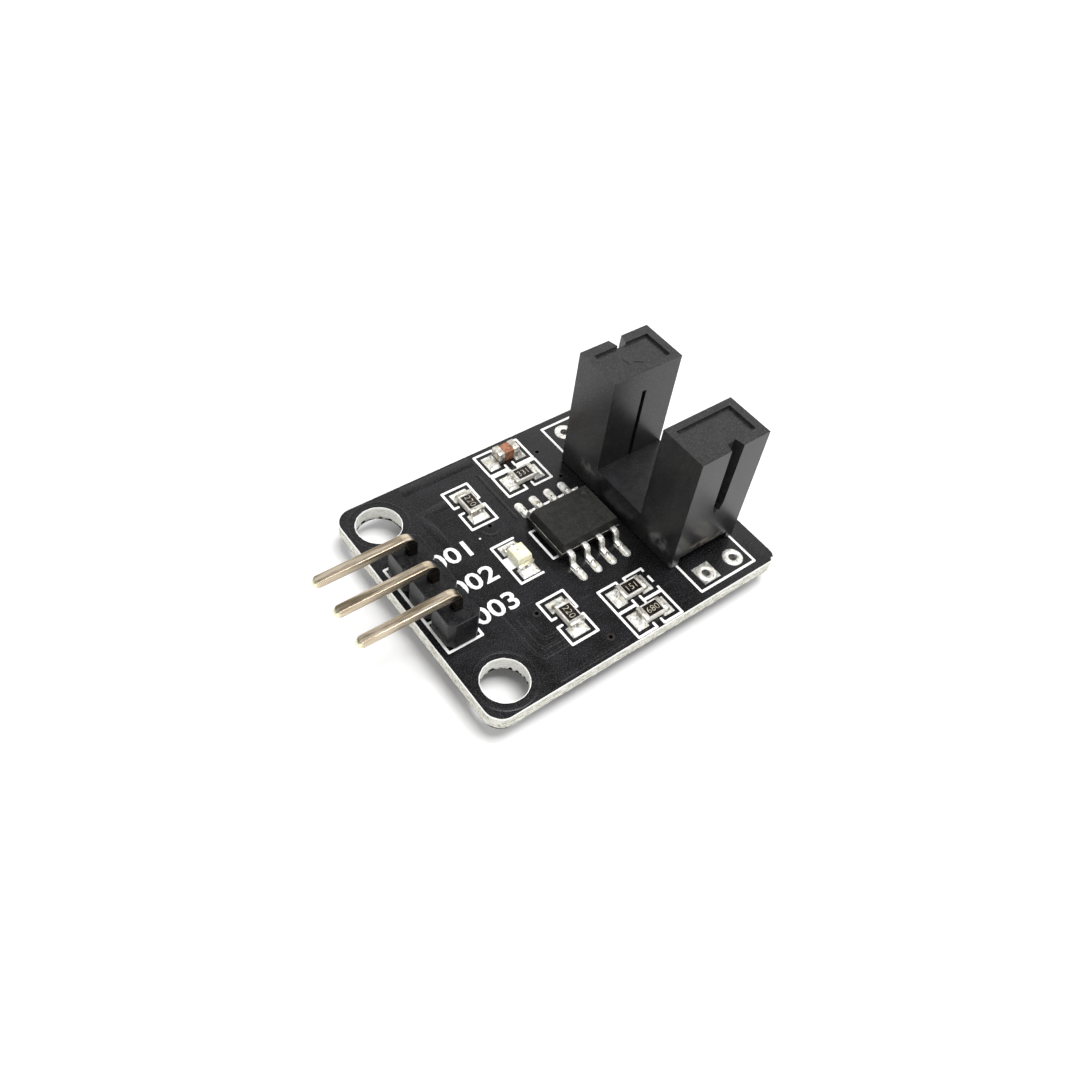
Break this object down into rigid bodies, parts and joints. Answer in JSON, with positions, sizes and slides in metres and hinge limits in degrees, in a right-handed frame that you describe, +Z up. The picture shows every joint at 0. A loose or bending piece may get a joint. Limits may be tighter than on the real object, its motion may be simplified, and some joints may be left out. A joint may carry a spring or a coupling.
{
  "type": "through-beam photoelectric sensor module",
  "caption": "Small circuit board with a slotted through-beam sensor, a comparator, chip parts and an angled pin header; it senses what passes through the slot.",
  "frame": {"origin": "under the middle of the bounding box, on the surface where the cut lead tails stand", "axes": "+X from the header pins towards the slotted sensor, along the board; +Y across the board; +Z up, square to the board"},
  "size_m": [0.0292, 0.0194, 0.0126],
  "materials": {
    "laminate": "pale glass-fibre laminate, rough where it was cut",
    "solder_mask": "satin black film",
    "white_ink": "matt white print",
    "tented_copper": "dull copper",
    "tin_plate": "bright tin",
    "header_plastic": "glossy black",
    "pin_plate": "pale gold plate",
    "solder": "bright solder",
    "housing_plastic": "satin black moulding",
    "emitter_resin": "clear blue-grey resin",
    "detector_resin": "dark filtering resin",
    "lead_tin": "tinned lead",
    "mould_compound": "fine matt black moulding",
    "alumina": "pale grey ceramic",
    "overcoat": "dark brown-black glaze",
    "terminal_tin": "dull tin",
    "capacitor_ceramic": "orange-brown ceramic",
    "indicator_substrate": "white laminate",
    "terminal_gold": "pale gold plate",
    "die": "semiconductor crystal",
    "indicator_resin": "milky yellow-white resin"
  },
  "bodies": {
    "root": {"board": "laminate", "mask_top": "solder_mask", "mask_bottom": "solder_mask", "printed_outlines": "white_ink", "vias": "tented_copper", "header_plated_holes": "tin_plate", "sensor_plated_holes": "tin_plate", "spare_plated_holes": "tin_plate", "comparator_pads": "tin_plate", "chip_pads": "tin_plate", "header_insulator": "header_plastic", "header_joints": "solder", "sensor_joints": "solder", "comparator_joints": "solder", "chip_joints": "solder", "sensor_housing": "housing_plastic", "emitter_package": "emitter_resin", "detector_package": "detector_resin", "emitter_lead_1": "lead_tin", "emitter_lead_2": "lead_tin", "detector_lead_1": "lead_tin", "detector_lead_2": "lead_tin", "comparator_body": "mould_compound", "capacitor_body": "capacitor_ceramic", "capacitor_terminals": "terminal_tin", "indicator_base": "indicator_substrate", "indicator_terminals": "terminal_gold", "indicator_die": "die", "indicator_lens": "indicator_resin", "header_pin_1": "pin_plate", "header_pin_2": "pin_plate", "header_pin_3": "pin_plate", "comparator_lead_1": "lead_tin", "comparator_lead_2": "lead_tin", "comparator_lead_3": "lead_tin", "comparator_lead_4": "lead_tin", "comparator_lead_5": "lead_tin", "comparator_lead_6": "lead_tin", "comparator_lead_7": "lead_tin", "comparator_lead_8": "lead_tin", "resistor_1_body": "alumina", "resistor_1_overcoat": "overcoat", "resistor_1_terminals": "terminal_tin", "resistor_2_body": "alumina", "resistor_2_overcoat": "overcoat", "resistor_2_terminals": "terminal_tin", "resistor_3_body": "alumina", "resistor_3_overcoat": "overcoat", "resistor_3_terminals": "terminal_tin", "resistor_4_body": "alumina", "resistor_4_overcoat": "overcoat", "resistor_4_terminals": "terminal_tin", "resistor_5_body": "alumina", "resistor_5_overcoat": "overcoat", "resistor_5_terminals": "terminal_tin"}
  },
  "joints": []
}
